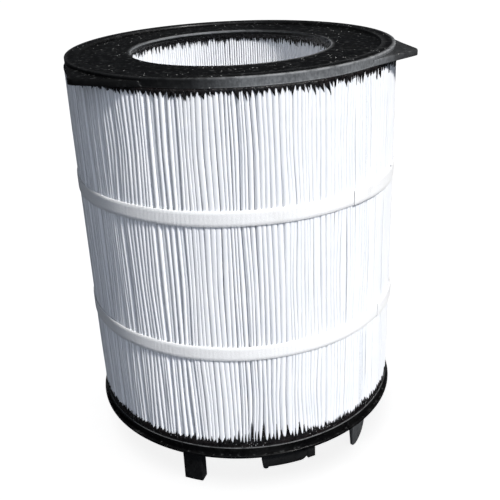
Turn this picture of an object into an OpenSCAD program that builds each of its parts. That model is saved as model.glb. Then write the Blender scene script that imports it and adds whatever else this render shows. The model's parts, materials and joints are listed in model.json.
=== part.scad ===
// Large annular pleated filter cartridge for a pool filter.
// Two moulded end rings, each with a bed of cast potting, hold a pleated ring of nonwoven media.
// The origin is on the cartridge's axis, in the plane of the underside of the bottom end ring.
// +Z points to the top end ring, and +X runs through one of its three lugs.

/* [Cartridge] */
// Outside diameter of the top end ring
ring_d = 416; // [400:1:430]
// Diameter of the open centre
bore_d = 255; // [240:1:270]
// Height from the underside of the bottom end ring to the top of the upper rim
body_h = 490; // [420:5:700]

/* [Top end ring] */
// Width of the raised outer rim
rim_w = 18.5; // [10:0.5:24]
// Depth of the sunk annular face below the rim
recess = 3; // [1:0.5:4]
// Height of the outer skirt
skirt_h = 11; // [10:0.5:16]
// How far each lug reaches beyond the ring
lug_reach = 27; // [15:1:32]
// Radius of each lug's rounded tip
lug_tip_r = 14; // [8:1:15]
// Thickness of each lug
lug_t = 7; // [4:0.5:8]

/* [Pleated media] */
// Number of pleats round the ring
pleats = 250; // [180:1:260]
// Thickness of the nonwoven sheet
media_t = 0.8; // [0.6:0.1:0.9]
// Half width of each folded outer tip
tip_half = 1.1; // [1.0:0.1:1.2]

/* [Bands] */
// Width of the two straps
band_w = 19; // [12:1:30]
// Thickness of the two straps
band_t = 1.2; // [0.8:0.1:1.6]
// Height of the upper strap's middle
upper_band_z = 334; // [260:1:360]
// Height of the lower strap's middle
lower_band_z = 159.5; // [80:0.5:200]
// Angle that a strap's loose end laps over its own start
lap_angle = 30; // [10:1:40]

/* [Bottom end ring] */
// Height of the outer wall
base_h = 19.5; // [18:0.5:30]
// How much the wall draws in towards its foot
base_draft = 0.6; // [0:0.2:4]
// Height of the set-back step under the flange
step_h = 5; // [3:0.5:6]
// Thickness of the flange round the wall's foot
flange_t = 4; // [2:0.5:6]
// How far the flange stands out beyond the wall's upper edge
flange_reach = 3.5; // [1:0.5:6]
// Thickness of the ribbed floor under the potting
floor_t = 3.5; // [2.5:0.5:5]
// Number of radial ribs under the floor
base_ribs = 24; // [8:1:36]

/* [Feet and locking walls] */
// Height of the feet below the bottom end ring
foot_h = 42; // [25:1:60]
// Width of a post foot
post_w = 26; // [18:1:34]
// Depth of a post foot, towards the axis
post_deep = 14; // [8:1:18]
// Width of a fin foot at its root
fin_w = 31; // [22:1:36]
// Depth of a fin foot, towards the axis
fin_deep = 8; // [6:1:12]
// How far a fin foot stands back from the step's outer face
fin_set_back = 6; // [2:0.5:7]
// Angle of each foot from the middle of its group
foot_spread = 36; // [30:0.5:40]
// Height of the curved locking wall below the bottom end ring
lock_h = 18; // [10:1:24]
// Direction of the first group's middle, from +X
group_angle = -57; // [-90:1:-40]

/* [Seat seal] */
// Radial width of the seal
seal_w = 6; // [4:0.5:8]
// How far the seal stands below the bottom end ring
seal_proud = 1.2; // [0.5:0.1:2]

/* [Hidden] */

$fn = 180;
ring_r = ring_d / 2;
bore_r = bore_d / 2;
lip_w = 4;
wall_w = 4;

// Top end ring, from its rim down to its potting
rim_in_r = ring_r - rim_w;
sunk_z = body_h - recess;
ceiling_z = sunk_z - 3;
lip_z = ceiling_z - 3;
skirt_z = body_h - skirt_h;
bead_h = 1.2;
bead_out = 0.8;
edge_r = 1.2;
lug_z = skirt_z;
lug_c = ring_r + lug_reach - lug_tip_r;
lug_count = 3;
lug_spread = 25;

// Beds of potting: the top one hangs below its ring, and the bottom one stands above its ring
channel_in_r = bore_r + lip_w;
top_channel_out_r = ring_r - wall_w - 1;
top_potting_z = skirt_z - 1.5;
base_r = ring_r + 1;
base_in_wall_h = base_h - 2;
base_channel_out_r = base_r - base_draft - wall_w;
bed_z = base_h - 10;
bottom_potting_z = base_h + 3.5;

// Pleated media
pack_r = ring_r + 1.2;
pack_in_r = channel_in_r + 0.4;
pleat_step = 360 / pleats;
fold_half = 1.15;
gap_half = fold_half - media_t;
open_half = tip_half - media_t;
media_lo_z = bottom_potting_z;
media_hi_z = top_potting_z;
seam_angle = -24;
seam_pleat = round(seam_angle / pleat_step);
seam_deep = 18;

// Bands: each strap's own angle, where its loose end stops, from +X
glue_t = 0.4;
glue_margin = 3;
lap_root = 2;
upper_lap_end = -31;
lower_lap_end = -15;

// Bottom end ring
flange_r = base_r + flange_reach;
flange_edge = 0.8;
step_r = base_r - 4;
seal_in_r = bore_r + 6.5;
seal_out_r = seal_in_r + seal_w;
seal_groove = 3;
land_r = seal_out_r + 5;
hollow_out_r = step_r - 15;
floor_z = bed_z - floor_t;
rib_t = 3;

// Feet and locking walls
foot_r = step_r;
fin_r = step_r - fin_set_back;
tenon_h = 5;
tenon_in = 2.5;
foot_tenon_deep = 8;
foot_shoulder = 4;
lock_r = step_r - 1.5;
lock_t = 6;
lock_half = 7.6;
lock_tenon_deep = 4;
group_count = 2;

function polar(r, a) = [r * cos(a), r * sin(a)];

function arc(cx, cy, r, a0, a1, n = 5) =
  [for (i = [0 : n]) [cx, cy] + polar(r, a0 + (a1 - a0) * i / n)];

// Angle that a half width w takes up at radius r
function half_angle(w, r) = asin(w / r);

// ---- Top end ring -------------------------------------------------------

module top_ring_body() {
  rotate_extrude()
    polygon(concat(
      [[ring_r, skirt_z], [ring_r, skirt_z + bead_h]],
      [[ring_r - bead_out, skirt_z + bead_h + bead_out]],
      arc(ring_r - bead_out - edge_r, body_h - edge_r, edge_r, 0, 90),
      arc(rim_in_r + edge_r, body_h - edge_r, edge_r, 90, 150, 3),
      [[rim_in_r - recess / 2, sunk_z]],
      arc(bore_r + edge_r, sunk_z - edge_r, edge_r, 90, 180),
      [[bore_r, lip_z], [channel_in_r, lip_z], [channel_in_r, ceiling_z]],
      [[top_channel_out_r, ceiling_z], [top_channel_out_r, skirt_z]]
    ));
}

// One lug: two straight sides that leave the ring at a low angle, and a round tip
module lug() {
  root = polar(ring_r - wall_w / 2, lug_spread);
  reach = [lug_c, 0] - root;
  tip_a = atan2(reach.y, reach.x) + asin(lug_tip_r / norm(reach)) + 90;
  translate([0, 0, lug_z])
    difference() {
      linear_extrude(lug_t)
        polygon(concat(
          [[root.x, -root.y]],
          arc(lug_c, 0, lug_tip_r, -tip_a, tip_a, 10),
          [root]
        ));
      translate([0, 0, -1])
        cylinder(r = ring_r - 0.7 * wall_w, h = lug_t + 2);
    }
}

module top_end_ring() {
  color([0.07, 0.07, 0.08])
    union() {
      top_ring_body();
      for (i = [0 : lug_count - 1])
        rotate(i * 360 / lug_count)
          lug();
    }
}

module top_potting() {
  color([0.04, 0.04, 0.04])
    rotate_extrude()
      polygon([
        [channel_in_r, top_potting_z], [top_channel_out_r, top_potting_z],
        [top_channel_out_r, ceiling_z], [channel_in_r, ceiling_z]
      ]);
}

// ---- Pleated media ------------------------------------------------------

// The four corners of one pleat's outer face, walking round the pack
function outer_pleat(a) = [
  polar(pack_r, a - half_angle(tip_half, pack_r)),
  polar(pack_r, a + half_angle(tip_half, pack_r)),
  polar(pack_in_r + media_t, a + pleat_step / 2 - half_angle(gap_half, pack_in_r)),
  polar(pack_in_r + media_t, a + pleat_step / 2 + half_angle(gap_half, pack_in_r))
];

// The four corners of the same pleat's inner face
function inner_pleat(a) = [
  polar(pack_r - media_t, a - half_angle(open_half, pack_r)),
  polar(pack_r - media_t, a + half_angle(open_half, pack_r)),
  polar(pack_in_r, a + pleat_step / 2 - half_angle(fold_half, pack_in_r)),
  polar(pack_in_r, a + pleat_step / 2 + half_angle(fold_half, pack_in_r))
];

module pleated_media() {
  color([0.93, 0.94, 0.96])
    translate([0, 0, media_lo_z])
      linear_extrude(media_hi_z - media_lo_z)
        difference() {
          polygon([for (i = [0 : pleats - 1]) each outer_pleat(i * pleat_step)]);
          polygon([for (i = [0 : pleats - 1]) each inner_pleat(i * pleat_step)]);
        }
}

// Bonded fin that closes the sheet: it fills the outer part of one gap between two pleats
module media_seam() {
  a = (seam_pleat + 0.5) * pleat_step;
  gap_r = pack_in_r + media_t;
  out_half = pleat_step / 2 - half_angle(tip_half, pack_r);
  in_half = half_angle(gap_half, pack_in_r);
  p_out = polar(pack_r, out_half);
  p_in = polar(gap_r, in_half);
  share = seam_deep / (pack_r - gap_r);
  p_mid = p_out + (p_in - p_out) * share;
  color([0.86, 0.87, 0.88])
    translate([0, 0, media_lo_z])
      rotate(a)
        linear_extrude(media_hi_z - media_lo_z)
          polygon([p_out, p_mid, [p_mid.x, -p_mid.y], [p_out.x, -p_out.y]]);
}

// ---- Bands --------------------------------------------------------------

// Part of a ring between two radii and two angles
module arc_ring(r0, r1, a0, a1, h) {
  far = 2 * r1;
  intersection() {
    difference() {
      cylinder(r = r1, h = h);
      translate([0, 0, -1])
        cylinder(r = r0, h = h + 2);
    }
    translate([0, 0, -1])
      linear_extrude(h + 2)
        polygon([[0, 0], polar(far, a0), polar(far, (a0 + a1) / 2), polar(far, a1)]);
  }
}

module band(z_mid, lap_end) {
  out_r = pack_r + band_t;
  lap_r = out_r + glue_t;
  root_a = lap_end + lap_angle;
  translate([0, 0, z_mid - band_w / 2])
    union() {
      difference() {
        cylinder(r = out_r, h = band_w);
        translate([0, 0, -1])
          cylinder(r = pack_r, h = band_w + 2);
      }
      arc_ring(lap_r, lap_r + band_t, lap_end, root_a, band_w);
      arc_ring(out_r - band_t / 2, lap_r + band_t / 2, root_a - lap_root, root_a - 0.2, band_w);
    }
}

// Flat pad of hot glue between a strap and its lapped end
module band_glue(z_mid, lap_end) {
  out_r = pack_r + band_t;
  far_a = lap_end + lap_angle - lap_root;
  translate([0, 0, z_mid - band_w / 2 + glue_margin])
    arc_ring(out_r, out_r + glue_t, lap_end + 1, far_a, band_w - 2 * glue_margin);
}

module upper_band() {
  color([0.90, 0.89, 0.86]) band(upper_band_z, upper_lap_end);
}

module upper_band_glue() {
  color([0.85, 0.80, 0.62]) band_glue(upper_band_z, upper_lap_end);
}

module lower_band() {
  color([0.90, 0.89, 0.86]) band(lower_band_z, lower_lap_end);
}

module lower_band_glue() {
  color([0.85, 0.80, 0.62]) band_glue(lower_band_z, lower_lap_end);
}

// ---- Bottom end ring ----------------------------------------------------

module bottom_potting() {
  color([0.04, 0.04, 0.04])
    rotate_extrude()
      polygon([
        [channel_in_r, bed_z], [base_channel_out_r, bed_z],
        [base_channel_out_r, bottom_potting_z], [channel_in_r, bottom_potting_z]
      ]);
}

module base_body() {
  wall_foot_r = base_r - base_draft;
  flange_top = step_h + flange_t;
  rotate_extrude()
    polygon(concat(
      [[bore_r, 0], [seal_in_r, 0], [seal_in_r, seal_groove]],
      [[seal_out_r, seal_groove], [seal_out_r, 0], [land_r, 0], [land_r, floor_z]],
      [[hollow_out_r, floor_z], [hollow_out_r, 0]],
      [[step_r - 1, 0], [step_r, 1], [step_r, step_h], [flange_r - flange_edge, step_h]],
      [[flange_r, step_h + flange_edge], [flange_r, flange_top - flange_edge]],
      [[flange_r - flange_edge, flange_top], [wall_foot_r, flange_top]],
      arc(base_r - edge_r, base_h - edge_r, edge_r, 0, 90),
      [[base_channel_out_r, base_h], [base_channel_out_r, bed_z]],
      [[channel_in_r, bed_z], [channel_in_r, base_in_wall_h], [bore_r, base_in_wall_h]]
    ));
}

module base_rib_ring() {
  for (i = [0 : base_ribs - 1])
    rotate((i + 0.5) * 360 / base_ribs)
      translate([land_r - 1, -rib_t / 2, 0.8])
        cube([hollow_out_r - land_r + 2, rib_t, floor_z]);
}

// A flat outline, drawn across the wall (x) and up from z0 (y), run through between two radii
module rim_solid(r0, r1, w, z0, z1) {
  translate([0, 0, z0])
    intersection() {
      difference() {
        translate([0, 0, -1])
          cylinder(r = r1, h = z1 - z0 + 2);
        translate([0, 0, -2])
          cylinder(r = r0, h = z1 - z0 + 4);
      }
      translate([r0 - 4, -w / 2, 0])
        rotate([90, 0, 90])
          linear_extrude(r1 - r0 + 8)
            children();
    }
}

// The tenon that holds a foot or a wall in its socket in the bottom end ring
module tenon(r1, deep, w) {
  rim_solid(r1 - deep, r1, w, 0, tenon_h)
    square([w, tenon_h]);
}

module post_tenon() {
  tenon(foot_r - tenon_in, foot_tenon_deep, post_w - 2 * foot_shoulder);
}

module fin_tenon() {
  tenon(fin_r - tenon_in, fin_deep - 2 * tenon_in, fin_w - 2 * foot_shoulder);
}

module lock_tenon() {
  tenon(lock_r - 1, lock_tenon_deep, 2 * lock_r * sin(lock_half) - 2 * foot_shoulder);
}

// Places its child in each of the two groups of feet
module each_group(side_angle = 0) {
  for (i = [0 : group_count - 1])
    rotate(group_angle + side_angle + i * 360 / group_count)
      children();
}

// Square foot, with a slope cut across the outer face at one lower corner
module post_foot() {
  cut = 12;
  difference() {
    rim_solid(foot_r - post_deep, foot_r, post_w, -foot_h, 0)
      square([post_w, foot_h]);
    translate([foot_r + 1, post_w / 2 + 1, -foot_h - 1])
      rotate([0, 0, 38])
        rotate([0, 45, 0])
          cube([cut, 2 * post_w, cut], center = true);
  }
  post_tenon();
}

// Tapered foot: one edge is upright, and the other sweeps down to a narrow round toe
module fin_foot() {
  toe_w = 7;
  toe_r = 2.5;
  taper = fin_w - toe_w;
  straight_y = foot_h - 6;
  sweep_r = (taper * taper + straight_y * straight_y) / (2 * taper);
  sweep_a = asin(straight_y / sweep_r);
  rim_solid(fin_r - fin_deep, fin_r, fin_w, -foot_h, 0)
    polygon(concat(
      [[0, foot_h]],
      arc(toe_r, toe_r, toe_r, 180, 270),
      arc(fin_w - sweep_r, straight_y, sweep_r, -sweep_a, 0, 10),
      [[fin_w, foot_h]]
    ));
  fin_tenon();
}

// Curved locking wall between a round-ended rib and a square rib
module locking_wall() {
  corner_r = 5;
  round_h = lock_h + 2;
  square_h = lock_h - 1;
  width = 2 * lock_r * sin(lock_half);
  round_w = 8;
  square_w = 11;
  rim_solid(lock_r - lock_t, lock_r, width, -lock_h, 0)
    polygon(concat(
      [[0, lock_h], [0, 0]],
      arc(width - corner_r, corner_r, corner_r, -90, 0),
      [[width, lock_h]]
    ));
  rotate(-lock_half - 1)
    rim_solid(lock_r - 14, lock_r + 0.8, round_w, -round_h, 0)
      polygon(concat(
        [[0, round_h]],
        arc(round_w / 2, round_w / 2, round_w / 2, 180, 360, 8),
        [[round_w, round_h]]
      ));
  rotate(lock_half + 1.5)
    rim_solid(lock_r - 18, lock_r + 0.8, square_w, -square_h, 0)
      square([square_w, square_h]);
  lock_tenon();
}

module bottom_end_ring() {
  color([0.07, 0.07, 0.08])
    difference() {
      union() {
        base_body();
        base_rib_ring();
      }
      each_group(-foot_spread) post_tenon();
      each_group(foot_spread) fin_tenon();
      each_group() lock_tenon();
    }
}

module post_feet() {
  color([0.07, 0.07, 0.08]) each_group(-foot_spread) post_foot();
}

module fin_feet() {
  color([0.07, 0.07, 0.08]) each_group(foot_spread) fin_foot();
}

module locking_walls() {
  color([0.07, 0.07, 0.08]) each_group() locking_wall();
}

module seat_seal() {
  color([0.16, 0.16, 0.17])
    rotate_extrude()
      polygon(concat(
        [[seal_in_r, seal_groove], [seal_in_r, 0]],
        [[seal_in_r + 1, -seal_proud], [seal_out_r - 1, -seal_proud]],
        [[seal_out_r, 0], [seal_out_r, seal_groove]]
      ));
}

top_end_ring();
top_potting();
pleated_media();
media_seam();
upper_band();
upper_band_glue();
lower_band();
lower_band_glue();
bottom_potting();
bottom_end_ring();
post_feet();
fin_feet();
locking_walls();
seat_seal();
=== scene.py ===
import json
import math

import bmesh
import bpy
import numpy as np
from mathutils import Matrix, Vector


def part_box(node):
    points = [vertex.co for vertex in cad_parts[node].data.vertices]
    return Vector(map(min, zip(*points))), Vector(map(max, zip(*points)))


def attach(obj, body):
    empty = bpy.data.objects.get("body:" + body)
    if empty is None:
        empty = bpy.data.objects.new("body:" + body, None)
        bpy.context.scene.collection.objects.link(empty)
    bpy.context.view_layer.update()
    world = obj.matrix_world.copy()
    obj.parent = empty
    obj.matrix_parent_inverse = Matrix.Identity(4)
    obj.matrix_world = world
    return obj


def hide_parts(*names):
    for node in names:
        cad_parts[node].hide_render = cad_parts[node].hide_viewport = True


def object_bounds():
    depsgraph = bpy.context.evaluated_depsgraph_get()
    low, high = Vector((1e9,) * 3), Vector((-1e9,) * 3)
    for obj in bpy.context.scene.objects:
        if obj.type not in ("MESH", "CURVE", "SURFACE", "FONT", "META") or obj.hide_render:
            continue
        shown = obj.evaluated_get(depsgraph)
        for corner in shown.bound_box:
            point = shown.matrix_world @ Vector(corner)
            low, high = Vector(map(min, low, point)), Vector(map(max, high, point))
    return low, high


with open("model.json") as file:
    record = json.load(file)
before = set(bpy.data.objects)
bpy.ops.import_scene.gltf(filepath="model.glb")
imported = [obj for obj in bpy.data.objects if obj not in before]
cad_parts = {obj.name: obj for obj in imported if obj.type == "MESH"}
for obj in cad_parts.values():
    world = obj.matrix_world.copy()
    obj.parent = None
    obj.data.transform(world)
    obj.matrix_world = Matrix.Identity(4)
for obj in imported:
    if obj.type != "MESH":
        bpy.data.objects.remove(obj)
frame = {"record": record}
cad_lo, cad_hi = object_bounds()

MM = 0.001
rng = np.random.default_rng(20)

# ---- Driving sizes, in millimetres ----
ring_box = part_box("top_end_ring")
base_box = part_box("bottom_end_ring")
media_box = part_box("pleated_media")
seal_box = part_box("seat_seal")

ring_r = -ring_box[0].x / MM
top_z = ring_box[1].z / MM
lug_end_r = ring_box[1].x / MM
skirt_z = ring_box[0].z / MM
flange_r = base_box[1].x / MM
base_r = flange_r - 3.5
base_top_z = base_box[1].z / MM
foot_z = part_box("post_feet")[0].z / MM
pack_r = media_box[1].x / MM
media_lo_z = media_box[0].z / MM
media_hi_z = media_box[1].z / MM
bed_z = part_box("bottom_potting")[0].z / MM
ceiling_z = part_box("top_potting")[1].z / MM
seal_out_r = seal_box[1].x / MM
seal_low_z = seal_box[0].z / MM
bore_r = frame["record"]["mounts"][0]["dims"]["r_mm"]

PLEATS = 250
PITCH = 2 * math.pi / PLEATS
LUG_COUNT = 3


# ---- Mesh helpers ----
def make_mesh(name, points, faces, smooth_angle):
    """A mesh object from a grid of points in millimetres and lists of corner indices."""
    mesh = bpy.data.meshes.new(name)
    mesh.from_pydata((points.reshape(-1, 3) * MM).tolist(), [], faces)
    mesh.update()
    return finish_mesh(name, mesh, smooth_angle)


def add_object(name, data):
    obj = bpy.data.objects.new(name, data)
    bpy.context.scene.collection.objects.link(obj)
    return obj


def finish_mesh(name, mesh, smooth_angle):
    """Puts a mesh in the scene, its faces outward, and smooth except at sharp edges."""
    bm = bmesh.new()
    bm.from_mesh(mesh)
    bmesh.ops.recalc_face_normals(bm, faces=bm.faces)
    bm.to_mesh(mesh)
    bm.free()
    mesh.polygons.foreach_set("use_smooth", [True] * len(mesh.polygons))
    mesh.set_sharp_from_angle(angle=math.radians(smooth_angle))
    return add_object(name, mesh)


def loop_faces(columns, rows):
    """Quads of a closed grid: both directions wrap round, as on a ring swept by a closed outline."""
    i, j = np.meshgrid(np.arange(columns), np.arange(rows), indexing="ij")
    a = i * rows + j
    b = ((i + 1) % columns) * rows + j
    c = ((i + 1) % columns) * rows + (j + 1) % rows
    d = i * rows + (j + 1) % rows
    return np.stack([a, b, c, d], axis=-1).reshape(-1, 4).tolist()


def ring_mesh(name, points, smooth_angle):
    """points[column, row] = (x, y, z): a closed outline swept all the way round."""
    columns, rows, _ = points.shape
    return make_mesh(name, points, loop_faces(columns, rows), smooth_angle)


def strip_mesh(name, points, smooth_angle):
    """points[column, row]: a closed outline swept along an open path, with both ends closed."""
    columns, rows, _ = points.shape
    faces = loop_faces(columns, rows)[: (columns - 1) * rows]
    faces.append(list(range(rows)))
    faces.append(list(range((columns - 1) * rows, columns * rows)))
    return make_mesh(name, points, faces, smooth_angle)


def paint(obj, name, values):
    """A number on each vertex, which the material reads by name."""
    attribute = obj.data.attributes.new(name, "FLOAT", "POINT")
    attribute.data.foreach_set("value", np.asarray(values, np.float32).ravel())


def arc(cx, cz, r, a0, a1, n=4):
    """Points (r, z) round a corner, angles in degrees."""
    angles = np.radians(a0 + (a1 - a0) * np.arange(n + 1) / n)
    return [(cx + r * math.cos(a), cz + r * math.sin(a)) for a in angles]


def around(r, angle, z):
    """Points at a radius, an angle and a height."""
    return np.stack([r * np.cos(angle), r * np.sin(angle), z], axis=-1)


def smoothstep(x):
    x = np.clip(x, 0, 1)
    return x * x * (3 - 2 * x)


def wave_noise(angles, waves, seed, amplitude=1.0):
    """Smooth noise round the ring, from a few sine waves with random phases."""
    r = np.random.default_rng(seed)
    total = np.zeros_like(np.asarray(angles, float))
    for w in waves:
        total += np.sin(w * angles + r.uniform(0, 2 * math.pi)) * r.uniform(0.6, 1.0)
    return amplitude * total / len(waves)


def at_angles(angles, places, shares):
    """Values at these angles, from shares given at a few places round the ring, in degrees."""
    return np.interp(np.degrees(angles), places, shares, period=360)


# ---- Material helpers ----
class Shader:
    """A small wrapper that adds and links nodes of one material."""

    def __init__(self, name):
        self.material = bpy.data.materials.new(name)
        self.material.use_nodes = True
        self.tree = self.material.node_tree
        self.bsdf = self.tree.nodes["Principled BSDF"]
        self.position = self.add("ShaderNodeTexCoord").outputs["Object"]

    def add(self, kind, **inputs):
        node = self.tree.nodes.new(kind)
        for key, value in inputs.items():
            self.put(node.inputs[key.replace("_", " ")], value)
        return node

    def put(self, socket, value):
        if isinstance(value, bpy.types.NodeSocket):
            self.tree.links.new(value, socket)
        elif socket.type == "RGBA":
            socket.default_value = (*value, 1)
        else:
            socket.default_value = value

    def math(self, operation, a, b, clamp=False):
        node = self.tree.nodes.new("ShaderNodeMath")
        node.operation = operation
        node.use_clamp = clamp
        self.put(node.inputs[0], a)
        self.put(node.inputs[1], b)
        return node.outputs[0]

    def times(self, a, b):
        return self.math("MULTIPLY", a, b)

    def greater(self, a, b):
        return self.math("MAXIMUM", a, b)

    def noise(self, scale, detail=3.0, rough=0.55, vector=None):
        place = vector or self.position
        node = self.add("ShaderNodeTexNoise", Vector=place, Scale=scale, Detail=detail, Roughness=rough)
        return node.outputs["Fac"]

    def mapped(self, scale, rotation=(0, 0, 0)):
        node = self.add("ShaderNodeMapping", Vector=self.position, Scale=scale, Rotation=rotation)
        return node.outputs["Vector"]

    def ramp(self, value, low, high, a=0.0, b=1.0):
        """Goes smoothly from a to b as the value goes from low to high."""
        node = self.add("ShaderNodeMapRange", Value=value, From_Min=low, From_Max=high, To_Min=a, To_Max=b)
        node.interpolation_type = "SMOOTHSTEP"
        return node.outputs["Result"]

    def mix(self, share, a, b):
        node = self.tree.nodes.new("ShaderNodeMix")
        node.data_type = "RGBA"
        self.put(node.inputs[0], share)
        self.put(node.inputs[6], a)
        self.put(node.inputs[7], b)
        return node.outputs[2]

    def specks(self, scale, size, kept):
        """Small round specks with soft edges, in a share of the cells."""
        node = self.add("ShaderNodeTexVoronoi", Vector=self.position, Scale=scale)
        near = self.ramp(node.outputs["Distance"], size, size * 0.5)
        split = self.add("ShaderNodeSeparateColor", Color=node.outputs["Color"])
        chosen = self.math("GREATER_THAN", split.outputs["Red"], 1 - kept)
        return self.times(near, chosen)

    def bump(self, height, strength, distance, normal=None):
        node = self.add("ShaderNodeBump", Height=height, Strength=strength, Distance=distance)
        if normal is not None:
            self.put(node.inputs["Normal"], normal)
        return node.outputs["Normal"]

    def z_of(self, vector):
        return self.add("ShaderNodeSeparateXYZ", Vector=vector).outputs["Z"]

    def attribute(self, name):
        node = self.add("ShaderNodeAttribute")
        node.attribute_name = name
        return node.outputs["Fac"]

    def set(self, **inputs):
        for key, value in inputs.items():
            self.put(self.bsdf.inputs[key.replace("_", " ")], value)


def scratches(s, angle, length_scale, width_scale):
    """Fine straight scratches in one direction, broken up by a second noise."""
    lined = s.noise(1.0, 2.0, 0.5, s.mapped((length_scale, width_scale, length_scale), (0, 0, angle)))
    line = s.ramp(lined, 0.715, 0.735)
    return s.times(line, s.ramp(s.noise(38, 2), 0.50, 0.58))


def moulded_plastic():
    """Black moulded plastic: gritty where it is painted with dust, brushed and greyed where it is painted
    dull, the grey partly a matte finish and partly painted sheen where the key light falls; edges lightened
    partly by wear and partly as painted highlight. Grit, mottling and scratches lie on the faces that look
    up."""
    s = Shader("moulded_plastic")
    cloud = s.ramp(s.noise(14, 5, 0.6), 0.45, 0.75)
    fine = s.ramp(s.noise(260, 4, 0.6), 0.35, 0.75)
    base = s.mix(fine, (0.0012, 0.0012, 0.0014), (0.0032, 0.0032, 0.0034))
    dusty = s.mix(s.times(cloud, 0.25), base, (0.014, 0.014, 0.013))
    flat = s.ramp(s.z_of(s.add("ShaderNodeTexCoord").outputs["Normal"]), 0.4, 0.9)
    mottle = s.times(s.ramp(s.noise(150, 3, 0.6), 0.56, 0.68), s.ramp(flat, 0, 1, 0.12, 0.8))
    dusty = s.mix(mottle, dusty, (0.050, 0.051, 0.051))
    brushed = s.times(s.noise(1.0, 4, 0.6, s.mapped((420, 420, 90))), s.noise(300, 4, 0.7))
    streaks = s.ramp(brushed, 0.14, 0.36, 0.70, 1.22)
    patchy = s.times(streaks, s.ramp(s.noise(9, 4), 0.3, 0.7, 0.78, 1.12))
    # Painted light: the dull share greys the plastic, for a matte finish and also as painted sheen where the
    # key light falls.
    dull = s.math("MULTIPLY", s.attribute("dull"), patchy, clamp=True)
    greyed = s.mix(dull, dusty, (0.37, 0.385, 0.40))
    dusty_top = s.times(flat, s.attribute("dust"))
    lines = s.greater(scratches(s, 0.5, 20, 1100), scratches(s, 1.9, 14, 1000))
    lines = s.greater(lines, scratches(s, -0.35, 18, 1200))
    lines = s.times(lines, dusty_top)
    scratched = s.mix(s.times(lines, 0.6), greyed, (0.30, 0.31, 0.31))
    grit = s.greater(s.specks(130, 0.12, 0.22), s.specks(240, 0.20, 0.18))
    grit = s.times(grit, s.ramp(s.noise(14, 2), 0.47, 0.55))
    grit = s.times(grit, dusty_top)
    gritty = s.mix(s.times(grit, 0.95), scratched, (0.95, 0.95, 0.93))
    # Painted highlight: edges are lightened, partly as wear and partly as highlights along the rims.
    edge = s.times(s.attribute("edge"), s.ramp(s.noise(90, 4, 0.7), 0.30, 0.58, 0.25, 1.0))
    worn_and_highlit = s.mix(s.times(edge, 0.6), gritty, (0.50, 0.51, 0.52))
    s.set(Base_Color=worn_and_highlit)
    rough = s.ramp(s.noise(55, 4), 0.3, 0.7, 0.18, 0.40)
    marks = s.greater(s.greater(grit, edge), s.times(dull, 0.8))
    s.set(Roughness=s.math("ADD", rough, s.times(marks, 0.35)))
    s.set(Specular_IOR_Level=0.13)
    peel = s.bump(s.noise(420, 3), 0.2, 0.0003)
    sunk = s.bump(s.noise(11, 2), 0.4, 0.001, peel)
    scored = s.bump(s.math("SUBTRACT", grit, lines), 0.5, 0.0003, sunk)
    s.set(Normal=scored)
    return s.material


def cast_potting():
    """Black cast urethane: lumpy and glossy, with small blisters, a grey bloom, and pale specks low down that
    are painted glints.
    """
    s = Shader("cast_potting")
    tone = s.ramp(s.noise(120, 4), 0.35, 0.7)
    base = s.mix(tone, (0.0025, 0.0022, 0.0025), (0.012, 0.009, 0.009))
    bloom = s.ramp(s.noise(210, 5, 0.7), 0.56, 0.70)
    bloomed = s.mix(s.times(bloom, 0.3), base, (0.06, 0.062, 0.062))
    low = s.ramp(s.z_of(s.position), 0.10, 0.05)
    # Painted glints: pale specks low down, where the glossy potting would catch the light.
    painted_glints = s.times(s.specks(430, 0.32, 0.30), s.ramp(s.noise(40, 2), 0.42, 0.55))
    painted_glints = s.times(painted_glints, low)
    s.set(Base_Color=s.mix(painted_glints, bloomed, (0.42, 0.44, 0.44)))
    s.set(Roughness=s.ramp(s.noise(70, 3), 0.35, 0.65, 0.16, 0.45), Specular_IOR_Level=0.32)
    blisters = s.specks(420, 0.34, 0.45)
    lumps = s.bump(s.noise(260, 4, 0.6), 0.9, 0.0016)
    s.set(Normal=s.bump(blisters, 0.8, 0.0008, lumps))
    return s.material


def stained(s, colour):
    """Mixes in the black that the potting left as it wicked into the media, ragged from pleat to pleat.
    Gives the colour, and 1 where it is black."""
    low_z = media_lo_z * MM + 0.004
    high_z = media_hi_z * MM - 0.001
    reach = 0.009
    z = s.z_of(s.position)
    flat = s.mapped((1, 1, 0.02))
    ragged = s.noise(330, 2, 0.6, flat)
    patch = s.noise(9, 2, 0.5, flat)
    height = s.times(s.ramp(ragged, 0.36, 0.72), s.ramp(patch, 0.3, 0.7, 0.55, 1.25))
    height = s.times(height, reach)
    above = s.math("SUBTRACT", s.math("ADD", height, low_z), z)
    below = s.math("SUBTRACT", z, s.math("SUBTRACT", high_z, height))
    depth = s.greater(above, below)
    wet = s.ramp(depth, -0.0006, 0.0006)
    halo = s.ramp(depth, -0.006, 0.0005)
    greyed = s.mix(s.times(halo, 0.18), colour, (0.35, 0.36, 0.38))
    return s.mix(wet, greyed, (0.008, 0.008, 0.009)), wet


def nonwoven_media():
    """White spunbond polyester: random fibres, a faint calendered grain and slight clouding."""
    s = Shader("nonwoven_media")
    fibre_a = s.noise(1.0, 4, 0.65, s.mapped((2600, 2600, 500), (0, 0.35, 0)))
    fibre_b = s.noise(1.0, 4, 0.65, s.mapped((2400, 2400, 600), (0.4, -0.3, 0)))
    fibre = s.greater(fibre_a, fibre_b)
    cloud = s.ramp(s.noise(24, 4), 0.35, 0.65)
    white = s.mix(cloud, (0.885, 0.90, 0.93), (0.92, 0.93, 0.95))
    flecked = s.mix(s.ramp(fibre, 0.52, 0.74, 0.0, 0.35), white, (0.97, 0.97, 0.975))
    colour, wet = stained(s, flecked)
    s.set(Base_Color=colour)
    s.set(Roughness=s.ramp(wet, 0, 1, 0.82, 0.42))
    s.set(Sheen_Weight=0.12, Sheen_Roughness=0.45, Specular_IOR_Level=0.25)
    grain = s.bump(fibre, 0.45, 0.00025)
    s.set(Normal=s.bump(s.noise(60, 3), 0.35, 0.0012, grain))
    return s.material


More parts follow.
